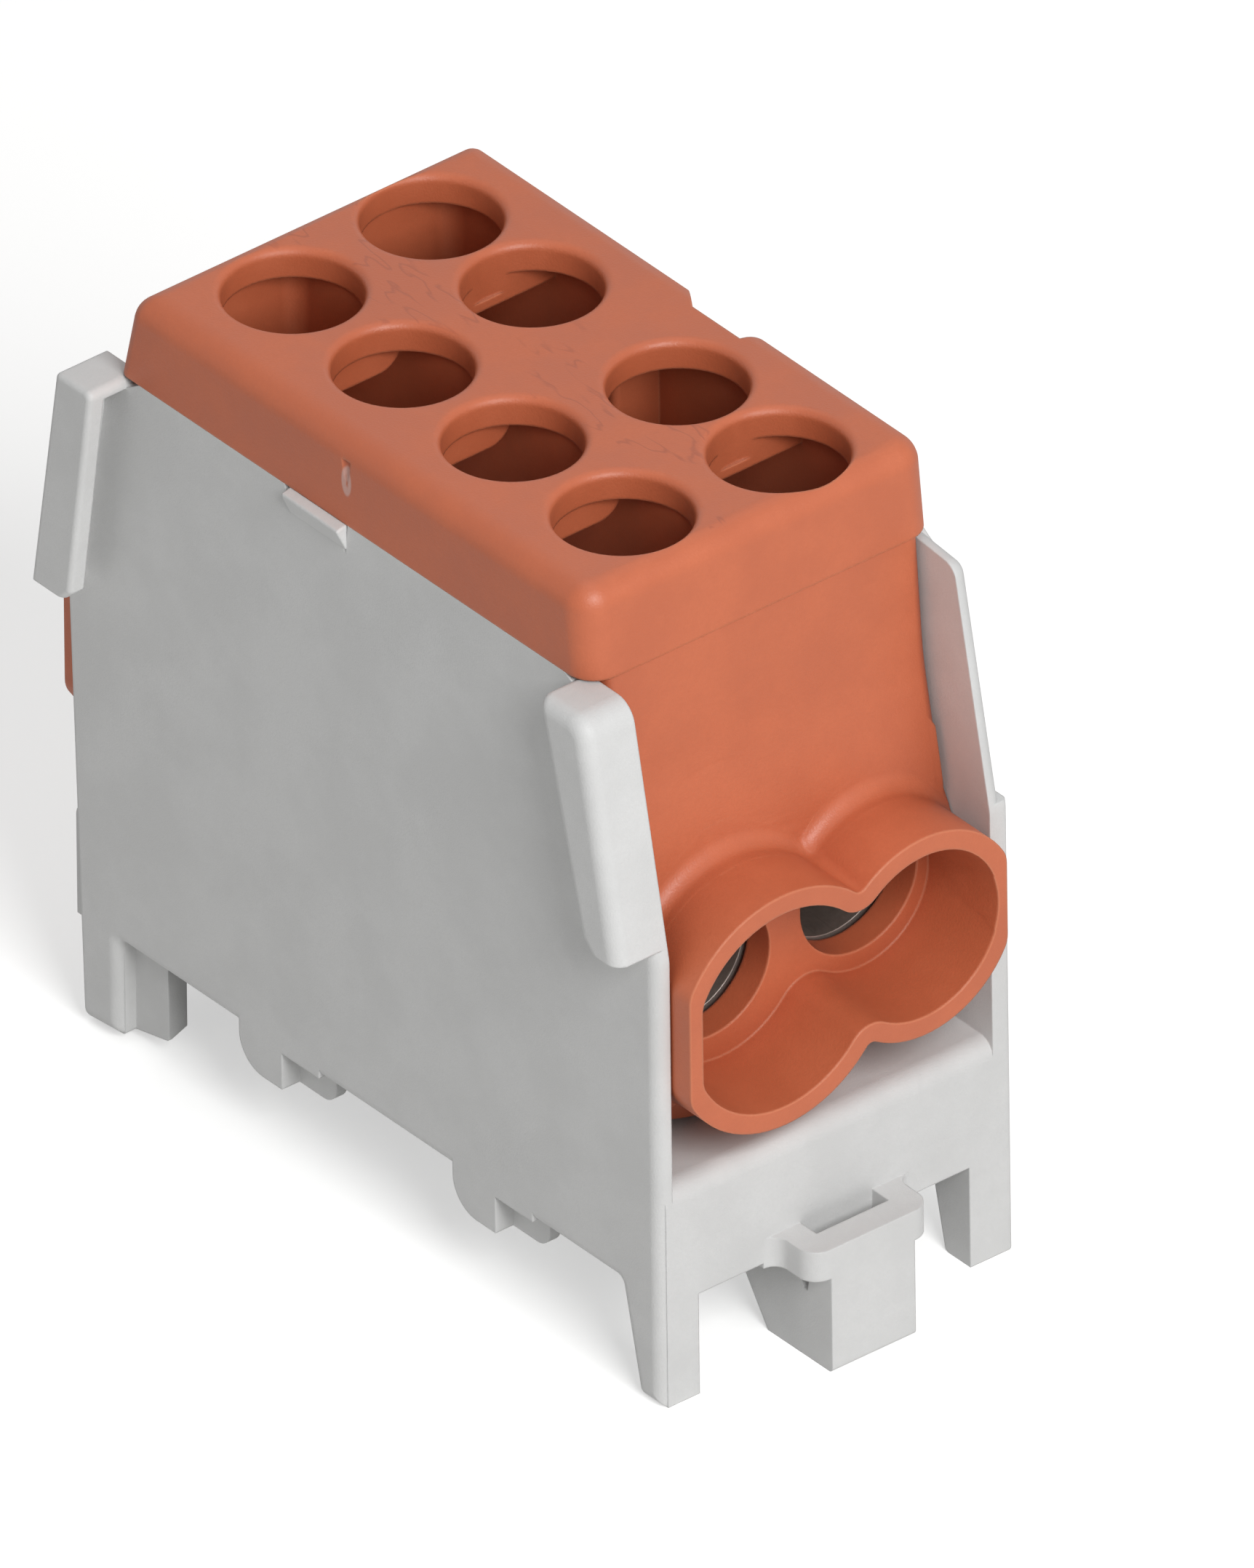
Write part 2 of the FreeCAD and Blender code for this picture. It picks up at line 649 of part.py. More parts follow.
def eight_outline(grow):
    """Figure-eight round the two lobes' centres, with tangent arcs at the waist, larger by grow."""
    a = vec(LOBE_A_X, LOBE_A_Z, 0)
    b = vec(LOBE_B_X, LOBE_B_Z, 0)
    r_a = LOBE_A_R + grow
    r_b = LOBE_B_R + grow
    r_waist = LOBE_WAIST_R - grow
    axis = b - a
    length = axis.Length
    axis.normalize()
    normal = vec(-axis.y, axis.x, 0)
    to_a = r_a + r_waist
    to_b = r_b + r_waist
    along = (to_a ** 2 - to_b ** 2 + length ** 2) / (2 * length)
    rise = math.sqrt(to_a ** 2 - along ** 2)
    upper = a + axis * along + normal * rise
    lower = a + axis * along - normal * rise
    on_a = [a + (c - a) * (r_a / to_a) for c in (upper, lower)]
    on_b = [b + (c - b) * (r_b / to_b) for c in (upper, lower)]
    waist = [upper - normal * r_waist, lower + normal * r_waist]
    wire = Part.Wire([
        Part.Arc(on_a[0], a - axis * r_a, on_a[1]).toShape(),
        Part.Arc(on_a[1], waist[1], on_b[1]).toShape(),
        Part.Arc(on_b[1], b + axis * r_b, on_b[0]).toShape(),
        Part.Arc(on_b[0], waist[0], on_a[0]).toShape(),
    ])
    wire.rotate(vec(0, 0, 0), vec(1, 0, 0), 90)
    return wire


def flattened(solid, half_width):
    """Cuts the lobes' far sides flat and rounds the new edges."""
    low = solid.BoundBox
    solid = solid.common(box(-half_width, half_width, low.YMin - EXTRA, low.YMax + EXTRA, 0, HOOD_TOP))

    def cut_edge(edge, middle):
        lengthwise = abs(edge.Vertexes[0].Point.y - edge.Vertexes[-1].Point.y) > 1
        return lengthwise and abs(abs(middle.x) - half_width) < 1e-6

    return round_edges(solid, 1.5, cut_edge)


def flare(x, z, radius):
    """Hollow-sided ring that leads a funnel lobe's outside into the hood's end wall."""
    tip = FLARE_ROOT + FLARE_LENGTH
    start = vec(radius, -tip, 0)
    half_way = vec(radius + 0.293 * FLARE_GROWTH, -tip + 0.707 * FLARE_LENGTH, 0)
    finish = vec(radius + FLARE_GROWTH, -FLARE_ROOT, 0)
    inner = radius / 2
    corners = [finish, vec(finish.x, -FLOOR_BACK, 0), vec(inner, -FLOOR_BACK, 0), vec(inner, -tip, 0), start]
    edges = [Part.Arc(start, half_way, finish).toShape()]
    for k in range(len(corners) - 1):
        edges.append(Part.makeLine(corners[k], corners[k + 1]))
    ring = Part.Face(Part.Wire(edges)).revolve(vec(0, 0, 0), vec(0, 1, 0), 360)
    ring.translate(vec(x, 0, z))
    return ring


def funnel_outside():
    """Outer wall of the front funnel."""
    solid = Part.Face(eight_outline(FUNNEL_WALL)).extrude(vec(0, FUNNEL_RIM - FLOOR_BACK, 0))
    solid.translate(vec(0, -FUNNEL_RIM, 0))
    solid = flattened(solid, HOOD_X)
    between = box(-HOOD_X, HOOD_X, -FUNNEL_RIM, 0, 0, HOOD_TOP)
    for x, z, radius in ((LOBE_A_X, LOBE_A_Z, LOBE_A_R), (LOBE_B_X, LOBE_B_Z, LOBE_B_R)):
        solid = solid.fuse(flare(x, z, radius + FUNNEL_WALL).common(between))
    return solid


def funnel_inside():
    """Hollow of the front funnel, a little narrower at its floor."""
    depth = FUNNEL_RIM - FUNNEL_FLOOR
    mouth = eight_outline(FLOOR_DRAFT * EXTRA / depth)
    mouth.translate(vec(0, -FUNNEL_RIM - EXTRA, 0))
    floor = eight_outline(-FLOOR_DRAFT)
    floor.translate(vec(0, -FUNNEL_FLOOR, 0))
    return flattened(Part.makeLoft([mouth, floor], True, True), HOOD_X - FUNNEL_SIDE)


def throats():
    """The two round passages from a funnel to the terminal body."""
    found = []
    for x, z in ((ROW_A_X, BORE_A_Z), (ROW_B_X, BORE_B_Z)):
        found.append(rod(THROAT_R, x, z, -FUNNEL_FLOOR - EXTRA, -FLOOR_BACK + EXTRA))
    return found


def cap():
    """Upper part of the hood, as wide as the housing, with rounded corners and top edges."""
    main = along_x([
        (-HOOD_END_TOP, HOOD_TOP),
        (HOOD_END_TOP, HOOD_TOP),
        (CAP_REAR_END, WALL_TOP),
        (-CAP_FRONT_END, WALL_TOP),
    ], -HALF_WIDTH, HALF_WIDTH)

    def corner(side):
        def test(edge, middle):
            leaning = abs(edge.Vertexes[0].Point.z - edge.Vertexes[-1].Point.z) > 2
            return leaning and abs(abs(middle.x) - HALF_WIDTH) < 1e-6 and side * middle.y > 0
        return test

    def top(edge, middle):
        return middle.z > HOOD_TOP - 1e-6

    main = round_edges(main, CAP_FRONT_CORNER, corner(-1))
    main = round_edges(main, TOP_ROUND, top)
    return round_edges(main, CAP_REAR_CORNER, corner(1))


def skirt_body():
    """Lower part of the hood between the walls, with leaning ends that turn upright at the funnels."""
    front_upper = -HALF_LENGTH + FRONT_UPPER_SETBACK
    rear_upper = HALF_LENGTH - REAR_UPPER_SETBACK
    body = along_x([
        (front_upper, WALL_TOP),
        (-WELL_END, WALL_TOP + EXTRA),
        (WELL_END, WALL_TOP + EXTRA),
        (rear_upper, WALL_TOP),
        (HALF_LENGTH - REAR_KNEE_SETBACK, KNEE_Z, KNEE_R),
        (HOOD_END, LOWER_Z, LOWER_R),
        (HOOD_END, HOOD_BOTTOM),
        (-HOOD_END, HOOD_BOTTOM),
        (-HOOD_END, LOWER_Z, LOWER_R),
        (-HALF_LENGTH + FRONT_KNEE_SETBACK, KNEE_Z, KNEE_R),
    ], -HOOD_X, HOOD_X)

    def upright_corner(edge, middle):
        height = abs(edge.Vertexes[0].Point.z - edge.Vertexes[-1].Point.z)
        return abs(abs(middle.x) - HOOD_X) < 1e-6 and height > 0.3 and middle.z < WALL_TOP

    return round_edges(body, SKIRT_CORNER, upright_corner)


def key_notch():
    """Notch in the right side of the cap, steep at its front end and flared at its rear end."""
    y0 = KEY_NOTCH_Y - KEY_NOTCH_LENGTH / 2
    y1 = KEY_NOTCH_Y + KEY_NOTCH_LENGTH / 2
    run = 2 * KEY_NOTCH_DEPTH
    floor = HALF_WIDTH - KEY_NOTCH_DEPTH
    return along_z([
        (floor + run, y0 - KEY_NOTCH_FRONT_FLARE * run),
        (floor + run, y1 + KEY_NOTCH_REAR_FLARE * run),
        (floor, y1),
        (floor, y0),
    ], WALL_TOP, HOOD_TOP + EXTRA)


def driver_hole():
    """Cutting tool for one screwdriver hole with a rounded rim, standing on the origin's axis."""
    r = DRIVER_HOLE_R
    rim = DRIVER_RIM_ROUND
    start = vec(r, 0, HOOD_TOP - rim)
    half_way = vec(r + rim * (1 - math.cos(math.pi / 4)), 0, HOOD_TOP - rim * (1 - math.sin(math.pi / 4)))
    finish = vec(r + rim, 0, HOOD_TOP)
    above = HOOD_TOP + EXTRA
    below = LID_UNDER - EXTRA
    corners = [finish, vec(r + rim, 0, above), vec(0, 0, above), vec(0, 0, below), vec(r, 0, below), start]
    edges = [Part.Arc(start, half_way, finish).toShape()]
    for k in range(len(corners) - 1):
        edges.append(Part.makeLine(corners[k], corners[k + 1]))
    return Part.Face(Part.Wire(edges)).revolve(vec(0, 0, 0), vec(0, 0, 1), 360)


def driver_holes():
    """Round screwdriver holes over the eight screws."""
    found = []
    for x, ys in ((ROW_A_X, ROW_A_Y), (ROW_B_X, ROW_B_Y)):
        for y in ys:
            tool = driver_hole()
            tool.translate(vec(x, y, 0))
            found.append(tool)
    return found


def gate_mark():
    """Small tapering scar on the left side of the cap."""
    low = GATE_MARK_Z - GATE_MARK_HEIGHT / 2
    depth = GATE_MARK_R / 2
    return Part.makeCone(0.1, GATE_MARK_R, GATE_MARK_HEIGHT, vec(-HALF_WIDTH - depth, GATE_MARK_Y, low))


def wells():
    """Long hollow under each row of screwdriver holes, from the lid down to the terminal block."""
    found = []
    for x0, x1 in ((-HOOD_INNER_X, PARTITION_LEFT), (PARTITION_RIGHT, HOOD_INNER_X)):
        found.append(along_z([
            (x0, -WELL_END, WELL_CORNER),
            (x1, -WELL_END, WELL_CORNER),
            (x1, WELL_END, WELL_CORNER),
            (x0, WELL_END, WELL_CORNER),
        ], HOOD_SIDE_BOTTOM, LID_UNDER))
    return found


def well_ribs():
    """Short ribs under the lid between neighbouring screwdriver holes, rounded towards the partition."""
    found = []
    for side, ys in ((-1, ROW_A_Y), (1, ROW_B_Y)):
        wall = side * (HOOD_INNER_X + HOOD_WALL / 2)
        end = side * (abs(PARTITION_LEFT) + WELL_RIB_END)
        low = LID_UNDER - WELL_RIB_DEPTH
        for k in range(len(ys) - 1):
            if ys[k] - ys[k + 1] > 2.5 * DRIVER_HOLE_R:
                continue
            y = (ys[k] + ys[k + 1]) / 2
            found.append(along_y([
                (wall, LID_UNDER + LID / 2),
                (wall, low),
                (end, low, WELL_RIB_ROUND),
                (end, LID_UNDER + LID / 2),
            ], y - WELL_RIB / 2, y + WELL_RIB / 2))
    return found


def buttress():
    """Upright stiffener on the right wall of the right well, between its two pairs of holes."""
    end = HOOD_INNER_X - BUTTRESS_LENGTH
    front = BUTTRESS_Y - BUTTRESS / 2
    rear = BUTTRESS_Y + BUTTRESS / 2
    wall = HOOD_INNER_X + HOOD_WALL / 2
    return along_z([
        (wall, front),
        (wall, rear),
        (end, rear, BUTTRESS_ROUND),
        (end, front, BUTTRESS_ROUND),
    ], HOOD_SIDE_BOTTOM, LID_UNDER + LID / 2)


def hood():
    shell = fused([skirt_body(), cap(), funnel_outside(), flip_y(funnel_outside())])
    below = box(-HALF_WIDTH, HALF_WIDTH, -FLOOR_BACK, FLOOR_BACK, HOOD_BOTTOM - EXTRA, HOOD_SIDE_BOTTOM)
    for tool in wells() + [below]:
        shell = shell.cut(tool)
    shell = fused([shell, buttress()] + well_ribs() + beads(0))
    for tool in driver_holes() + [key_notch(), gate_mark()]:
        shell = shell.cut(tool)

    hollow = funnel_inside()
    for tool in [hollow, flip_y(hollow)] + throats() + [flip_y(t) for t in throats()]:
        shell = shell.cut(tool)
    return shell


# Terminal body and screws

def terminal_block():
    """Metal bar with two through bores and eight threaded holes."""
    bar = along_y([
        (-TERMINAL_X, TERMINAL_BOTTOM, TERMINAL_CHAMFER),
        (TERMINAL_X, TERMINAL_BOTTOM, TERMINAL_CHAMFER),
        (TERMINAL_X, TERMINAL_TOP, TERMINAL_CHAMFER),
        (-TERMINAL_X, TERMINAL_TOP, TERMINAL_CHAMFER),
    ], -TERMINAL_END, TERMINAL_END)
    past_end = TERMINAL_END + EXTRA
    for x, z in ((ROW_A_X, BORE_A_Z), (ROW_B_X, BORE_B_Z)):
        bar = bar.cut(rod(TERMINAL_BORE_R, x, z, -past_end, past_end))
    groove_x = (ROW_A_X + ROW_B_X) / 2
    bar = bar.cut(rod(TERMINAL_GROOVE_R, groove_x, TERMINAL_TOP + TERMINAL_GROOVE_RISE, -past_end, past_end))
    hole = SCREW_R + THREAD_CLEARANCE
    for x, z, ys in ((ROW_A_X, BORE_A_Z, ROW_A_Y), (ROW_B_X, BORE_B_Z, ROW_B_Y)):
        for y in ys:
            bar = bar.cut(post(hole, x, y, z, TERMINAL_TOP + EXTRA))
    return bar


def clamp_screw(x, y, bore_z):
    """Set screw with a slot and cross drive, backed out so that its tip clears the bore."""
    tip = bore_z + TERMINAL_BORE_R + SCREW_TIP_CLEAR
    top = tip + SCREW_LENGTH
    side = [
        (0, 0),
        (SCREW_R - 2 * SCREW_CHAMFER, 0),
        (SCREW_R, SCREW_CHAMFER),
        (SCREW_R, SCREW_LENGTH - SCREW_CHAMFER),
        (SCREW_R - SCREW_CHAMFER, SCREW_LENGTH),
        (0, SCREW_LENGTH),
    ]
    wire = outline(side)
    wire.rotate(vec(0, 0, 0), vec(1, 0, 0), 90)
    body = Part.Face(wire).revolve(vec(0, 0, 0), vec(0, 0, 1), 360)
    body.translate(vec(x, y, tip))
    half = SLOT_WIDTH / 2
    body = body.cut(box(x - SCREW_R, x + SCREW_R, y - half, y + half, top - SLOT_DEPTH, top + EXTRA))
    long_half = CROSS_SPAN / 2
    half = CROSS_WIDTH / 2
    for turn in (0, 90):
        blade = box(-long_half, long_half, -half, half, top - CROSS_DEPTH, top + EXTRA)
        blade.rotate(vec(0, 0, 0), vec(0, 0, 1), turn)
        blade.translate(vec(x, y, 0))
        body = body.cut(blade)
    return body


def write(name, shape):
    placed = shape.copy()
    placed.translate(vec(-CENTRE_X, RAIL_OFFSET, 0))
    placed.exportStep("parts/" + name + ".step")
    print(name, "solids", len(placed.Solids), "valid", placed.isValid(), "volume", round(placed.Volume, 1))


def main():
    os.makedirs("parts", exist_ok=True)
    write("base_housing", base_housing())
    write("hood", hood())
    write("terminal_block", terminal_block())
    for row, x, bore_z, ys in (("a", ROW_A_X, BORE_A_Z, ROW_A_Y), ("b", ROW_B_X, BORE_B_Z, ROW_B_Y)):
        for number, y in enumerate(ys, 1):
            write("clamp_screw_%s%d" % (row, number), clamp_screw(x, y, bore_z))


main()
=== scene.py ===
"""Looks of the rail-mounted junction terminal block: plastics, tinned bar, clamp screws, studio."""
import math

import bmesh
import bpy
from mathutils import Matrix, Vector


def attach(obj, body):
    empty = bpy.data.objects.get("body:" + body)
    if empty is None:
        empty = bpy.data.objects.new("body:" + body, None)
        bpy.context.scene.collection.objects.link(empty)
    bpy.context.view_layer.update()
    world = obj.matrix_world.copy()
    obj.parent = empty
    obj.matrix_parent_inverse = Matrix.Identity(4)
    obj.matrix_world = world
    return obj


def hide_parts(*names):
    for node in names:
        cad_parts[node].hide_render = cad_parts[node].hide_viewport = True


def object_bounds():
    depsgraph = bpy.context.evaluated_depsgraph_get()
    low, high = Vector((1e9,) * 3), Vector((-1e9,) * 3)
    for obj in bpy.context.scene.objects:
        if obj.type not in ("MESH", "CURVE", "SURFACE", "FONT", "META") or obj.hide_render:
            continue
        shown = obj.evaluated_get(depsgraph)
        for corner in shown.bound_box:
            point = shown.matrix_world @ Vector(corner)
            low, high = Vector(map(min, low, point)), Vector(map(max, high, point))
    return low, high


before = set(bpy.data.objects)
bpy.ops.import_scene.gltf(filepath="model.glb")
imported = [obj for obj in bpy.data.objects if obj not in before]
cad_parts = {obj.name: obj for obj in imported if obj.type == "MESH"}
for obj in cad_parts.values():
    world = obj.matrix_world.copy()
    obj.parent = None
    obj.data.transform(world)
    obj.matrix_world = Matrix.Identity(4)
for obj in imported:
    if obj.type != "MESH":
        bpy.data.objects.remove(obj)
cad_low, cad_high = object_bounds()

MM = 0.001

# Camera: direction, roll and scale measured on the photograph, which has no visible perspective
IMAGE_WIDTH = 1724
IMAGE_HEIGHT = 2156
CAMERA_AZIMUTH = -38.875
CAMERA_ELEVATION = 33.869
CAMERA_ROLL = -0.738
PIXELS_PER_MM = 28.45
ORIGIN_PIXEL = (770.7, 1431.3)
CAMERA_DISTANCE = 0.4
CAMERA_CLIP = (0.01, 5.0)

# Light: power in watts, size and place in metres, places from the middle of the part
WORLD_STRENGTH = 0.24
KEY_WATTS = 2.63
KEY_SIZE = 0.26
KEY_PLACE = (-0.12, -0.46, 0.36)
TOP_WATTS = 0.30
TOP_SIZE = 0.36
TOP_PLACE = (0.05, 0.05, 0.45)

# Floor
FLOOR_SIZE = 1.2
FLOOR_COLOUR = (0.82, 0.82, 0.81)
FLOOR_CLOUD = (0.80, 0.80, 0.79)
FLOOR_CLOUD_SIZE = 60.0
FLOOR_CLOUD_AMOUNT = 0.12
FLOOR_ROUGHNESS = 0.9
FLOOR_GLOW = 0.48

# Colours, linear
GREY = (0.675, 0.675, 0.67)
GREY_DARK = (0.63, 0.63, 0.625)
GREY_SMUDGE = (0.40, 0.40, 0.40)
# Paler tone of the painted highlight along the grey plastic's edges
GREY_EDGE_HIGHLIGHT = (0.74, 0.74, 0.735)
ORANGE = (0.59, 0.153, 0.067)
ORANGE_DARK = (0.54, 0.136, 0.059)
ORANGE_SMUDGE = (0.30, 0.075, 0.040)
# Paler tone of the painted highlight along the orange plastic's edges
ORANGE_EDGE_HIGHLIGHT = (0.78, 0.27, 0.14)
ORANGE_SCAR = (0.62, 0.34, 0.28)
ORANGE_WRINKLE = (0.36, 0.085, 0.042)
# Painted shade for the hood's hollows, funnels and holes
ORANGE_PAINTED_SHADE = (0.27, 0.058, 0.023)
TIN = (0.70, 0.65, 0.60)
TIN_DARK = (0.40, 0.35, 0.31)
ZINC = (0.60, 0.59, 0.57)
ZINC_DARK = (0.34, 0.33, 0.31)

# Moulded plastics, sizes and depths in mm
PLASTIC_IOR = 1.5
GREY_GRAIN = 0.10
GREY_ROUGHNESS = 0.44
GREY_EDGE_RADIUS = 0.14
ORANGE_GRAIN = 0.12
ORANGE_ROUGHNESS = 0.38
ORANGE_EDGE_RADIUS = 0.22
ROUGHNESS_SPREAD = 0.12
CLOUD_SIZE = 5.0
PATCH_SIZE = 6.0
RUB_SIZE = 1.1
RUB_STRETCH = (1.0, 0.35, 0.22)
SPECK_AMOUNT = 0.35
RUB_AMOUNT = 0.3
# How far the painted highlight lightens the edges
EDGE_HIGHLIGHT_AMOUNT = 0.7
GRAIN_DEPTH = 0.018
PATCH_DEPTH = 0.02
EDGE_SAMPLES = 6

# Marks on the hood, in mm from the part's origin
GATE_SCAR = (-11.0, 2.3, 36.15)
GATE_SCAR_REACH = (0.9, 0.42, 0.95)
STREAK_SIZE = 0.5
STREAK_STRETCH = (1.0, 1.0, 0.4)
WRINKLE_SIZE = 1.3
WRINKLE_WIDTH = 0.035
WRINKLE_STRETCH = (1.0, 0.3, 1.0)
WRINKLE_PATCH = 1.6
WRINKLE_AMOUNT = 0.5
STRIP_LEFT = (-4.6, -3.0)
STRIP_RIGHT = (5.0, 3.0)
STRIP_BELOW_TOP = (0.12, 0.03)
# Painted shade in the hood's hollows: ambient occlusion within this reach, and how far it darkens
# the colour
PAINTED_SHADE_REACH = 7
PAINTED_SHADE_AMOUNT = 0.9

# Metals, sizes and depths in mm
TIN_ROUGHNESS = 0.40
ZINC_ROUGHNESS = 0.26
METAL_ROUGHNESS_SPREAD = 0.2
TOOL_LINE_SIZE = 0.12
TOOL_LINE_STRETCH = 0.05
TOOL_LINE_DEPTH = 0.01
TARNISH_SIZE = 3.5
METAL_EDGE_RADIUS = 0.08

# Outside of the hood as its solid has it, in mm, x and y from the hood's own centre
CENTRE = (-0.15, 1.45)
HOOD_TOP = 38.55
HOOD_HALF_WIDTH = 9.9
LOBES = ((-3.993, 15.1, 6.65), (4.752, 15.6, 5.70))
WALL_FOOT = 19.35
WALL_TURN_Z = 20.0
WALL_TURN_ROUND = 6.0
KNEE_Z = 26.8
KNEE_FRONT = 18.1
KNEE_REAR = 18.55
RIM = 23.9
FUNNEL_FLOOR = 18.95
FUNNEL_DRAFT = 0.4
FUNNEL_WALL = 1.05

# Soft root of the funnels, in mm
BLEND_ROUND = 0.8
WAIST_AT_RIM = 0.45
WAIST_AT_WALL = 1.0
CLEAR = 0.015
BLEND_LOW = 12.0
BLEND_HIGH = 26.0
BLEND_CLIMB = 4.7
BLEND_RIM_GAP = 0.05
RAY_SETBACK = 2.5
RAY_SPAN = (0.5, 2.2)
CUT_REACH = HOOD_HALF_WIDTH + 0.25
CUT_DEPTH = 1.8
FILL_REACH = HOOD_HALF_WIDTH - 0.2
FILL_DEPTH = 0.5
SHARP_ANGLE = 28

# How finely the funnels' tools are worked out
BLEND_COLUMNS = 121
FUNNEL_ROWS = 30
WALL_ROWS = 40
LOBE_SIDES = 120
ROOT_HALVINGS = 24
RAY_HALVINGS = 20

# Prising lip on the housing's left wall, in mm from the part's origin
WALL_X = -11.0
LIP_TOP = 33.57
LIP_PROUD = 0.58
LIP_FALL = 1.45
LIP_FRONT = 2.35
LIP_REAR = 6.7
LIP_REAR_SHARE = 0.9
LIP_ROOT = 0.8
LIP_EDGE = (0.12, 0.25)
LIP_FOOT = (-0.01, 0.2)
LIP_ROUND = 0.13


def new_material(name):
    """Empty material with a Principled shader, as (material, node tree, shader)."""
    material = bpy.data.materials.new(name)
    material.use_nodes = True
    tree = material.node_tree
    return material, tree, tree.nodes["Principled BSDF"]


def add_node(tree, kind, inputs=None, **settings):
    """New node with its settings and the values or links of its inputs."""
    node = tree.nodes.new(kind)
    for key, value in settings.items():
        setattr(node, key, value)
    for key, value in (inputs or {}).items():
        socket = node.inputs[key]
        if isinstance(value, bpy.types.NodeSocket):
            tree.links.new(value, socket)
        else:
            socket.default_value = value
    return node


def object_place(tree, stretch=(1.0, 1.0, 1.0)):
    """Coordinates in the part's own frame, stretched per axis."""
    place = add_node(tree, "ShaderNodeTexCoord").outputs["Object"]
    mapping = add_node(tree, "ShaderNodeMapping", {"Vector": place, "Scale": stretch})
    return mapping.outputs["Vector"]


def noise(tree, place, size, detail=2.0, roughness=0.5):
    """Noise whose blotches are about size mm wide."""
    node = add_node(tree, "ShaderNodeTexNoise", {
        "Vector": place,
        "Scale": 1 / (size * MM),
        "Detail": detail,
        "Roughness": roughness,
    })
    return node.outputs["Fac"]


def remap(tree, value, low, high, to_low=0.0, to_high=1.0):
    """Value taken softly from one range to another."""
    node = add_node(tree, "ShaderNodeMapRange", {
        "Value": value,
        "From Min": low,
        "From Max": high,
        "To Min": to_low,
        "To Max": to_high,
    }, interpolation_type="SMOOTHSTEP")
    return node.outputs["Result"]


def calculate(tree, operation, *values):
    """One step of arithmetic on numbers."""
    node = add_node(tree, "ShaderNodeMath", dict(enumerate(values)), operation=operation)
    return node.outputs[0]


def multiply(tree, a, b):
    return calculate(tree, "MULTIPLY", a, b)


def vector_step(tree, operation, *values):
    """One step of arithmetic on vectors."""
    return add_node(tree, "ShaderNodeVectorMath", dict(enumerate(values)), operation=operation)


def blend_colour(tree, amount, a, b):
    """Mix of two colours, each a plain colour or another mix."""
    node = add_node(tree, "ShaderNodeMix", data_type="RGBA")
    tree.links.new(amount, node.inputs["Factor"])
    for socket, colour in ((node.inputs[6], a), (node.inputs[7], b)):
        if isinstance(colour, bpy.types.NodeSocket):
            tree.links.new(colour, socket)
        else:
            socket.default_value = (*colour, 1.0)
    return node.outputs[2]


def eased_normal(tree, radius):
    """Normal of the surface with its edges eased by a radius in mm."""
    bevel = add_node(tree, "ShaderNodeBevel", {"Radius": radius * MM}, samples=EDGE_SAMPLES)
    return bevel.outputs["Normal"]


def edge_amount(tree, radius, most):
    """How near an edge a point is, from 0 to most."""
    true_normal = add_node(tree, "ShaderNodeNewGeometry").outputs["Normal"]
    same = vector_step(tree, "DOT_PRODUCT", eased_normal(tree, radius), true_normal)
    return remap(tree, same.outputs["Value"], 0.99, 0.86, 0.0, most)


def near_point(tree, point, reach):
    """One near a point, given in mm, and nought beyond its reach along each axis."""
    place = add_node(tree, "ShaderNodeTexCoord").outputs["Object"]
    shift = vector_step(tree, "SUBTRACT", place, [v * MM for v in point])
    scaled = vector_step(tree, "MULTIPLY", shift.outputs[0], [1 / (v * MM) for v in reach])
    length = vector_step(tree, "LENGTH", scaled.outputs[0])
    return remap(tree, length.outputs["Value"], 1.0, 0.75)


def wrinkles(tree, place, size, width):
    """Thin wandering lines, broken up into short stretches."""
    off = calculate(tree, "SUBTRACT", noise(tree, place, size), 0.5)
    line = remap(tree, calculate(tree, "ABSOLUTE", off), width, 0.0)
    patch = remap(tree, noise(tree, place, WRINKLE_PATCH * size), 0.47, 0.55)
    return multiply(tree, line, patch)


def top_strip(tree):
    """One on the hood's top between the two rows of holes, nought elsewhere."""
    place = add_node(tree, "ShaderNodeTexCoord").outputs["Object"]
    axes = add_node(tree, "ShaderNodeSeparateXYZ", {"Vector": place}).outputs
    high = remap(tree, axes["Z"], *[(HOOD_TOP - v) * MM for v in STRIP_BELOW_TOP])
    left = remap(tree, axes["X"], *[v * MM for v in STRIP_LEFT])
    right = remap(tree, axes["X"], *[v * MM for v in STRIP_RIGHT])
    return multiply(tree, high, multiply(tree, left, right))


def surface_relief(tree, shader, layers, edge_radius):
    """Chain of bumps over slightly eased edges. Each layer is (height, depth in mm)."""
    normal = eased_normal(tree, edge_radius)
    for height, depth in layers:
        bump = add_node(tree, "ShaderNodeBump", {
            "Height": height,
            "Distance": depth * MM,
            "Strength": 1.0,
            "Normal": normal,
        })
        normal = bump.outputs["Normal"]
    tree.links.new(normal, shader.inputs["Normal"])


